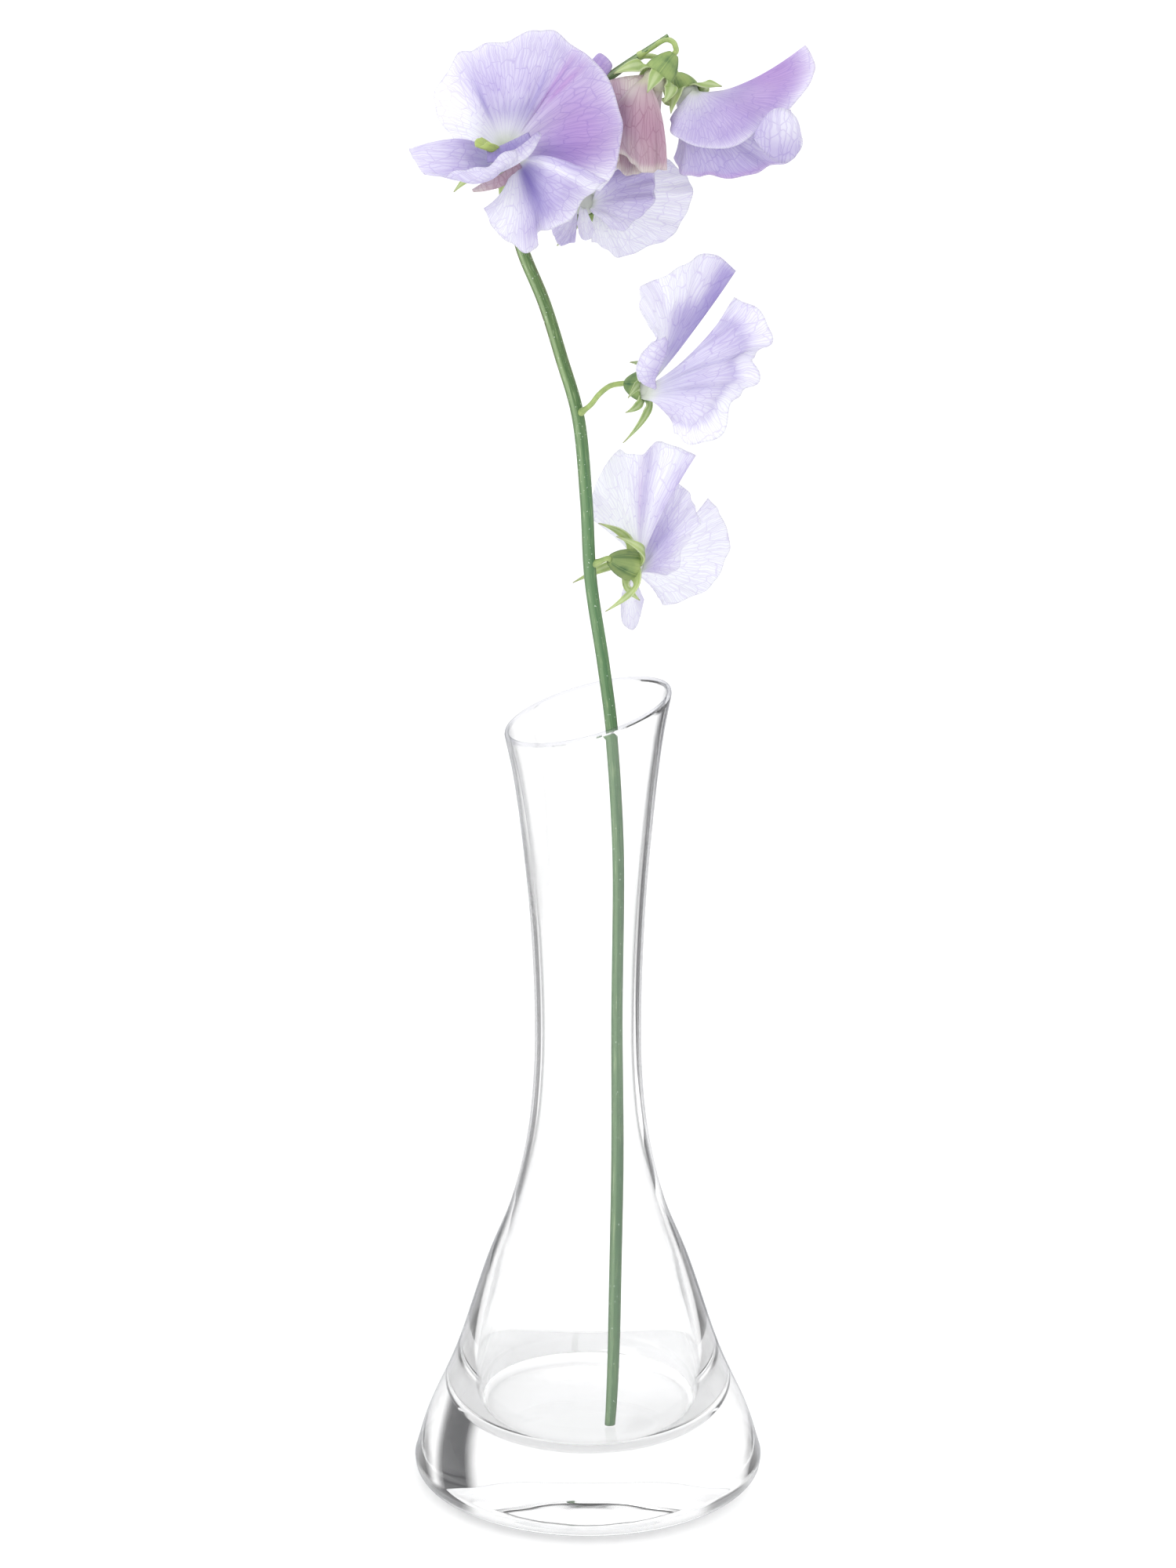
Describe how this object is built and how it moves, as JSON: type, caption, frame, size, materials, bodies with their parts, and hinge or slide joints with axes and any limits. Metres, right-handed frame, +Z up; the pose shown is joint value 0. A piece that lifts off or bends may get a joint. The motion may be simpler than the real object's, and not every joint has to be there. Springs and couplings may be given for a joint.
{
  "type": "sweet pea flower",
  "caption": "Cut stalk of lilac sweet pea flowers and a mauve bud, each petal a separate piece in a green calyx, standing in a flared clear glass vase with a slanted mouth.",
  "frame": {"origin": "centre of the vase's flat underside", "axes": "+Z up, +X to the right and +Y away from the picture's viewer"},
  "size_m": [0.0926, 0.083, 0.3513],
  "materials": {
    "glass": "clear polished glass",
    "stalk": "satin green plant stalk",
    "calyx": "satin yellow-green plant tissue",
    "petal": "soft matt lilac petal",
    "bud_petal": "soft matt mauve petal"
  },
  "bodies": {
    "root": {"vase": "glass", "stem": "stalk", "front_calyx": "calyx", "front_standard": "petal", "front_wing_right": "petal", "front_wing_left": "petal", "front_keel": "petal", "behind_calyx": "calyx", "behind_standard": "petal", "behind_wing_right": "petal", "behind_wing_left": "petal", "behind_keel": "petal", "bud_calyx": "calyx", "bud_standard": "bud_petal", "bud_keel": "bud_petal", "top_calyx": "calyx", "top_standard": "petal", "top_wing_right": "petal", "top_wing_left": "petal", "top_keel": "petal", "middle_calyx": "calyx", "middle_standard": "petal", "middle_wing_right": "petal", "middle_wing_left": "petal", "middle_keel": "petal", "lower_calyx": "calyx", "lower_standard": "petal", "lower_wing_right": "petal", "lower_wing_left": "petal", "lower_keel": "petal"}
  },
  "joints": []
}
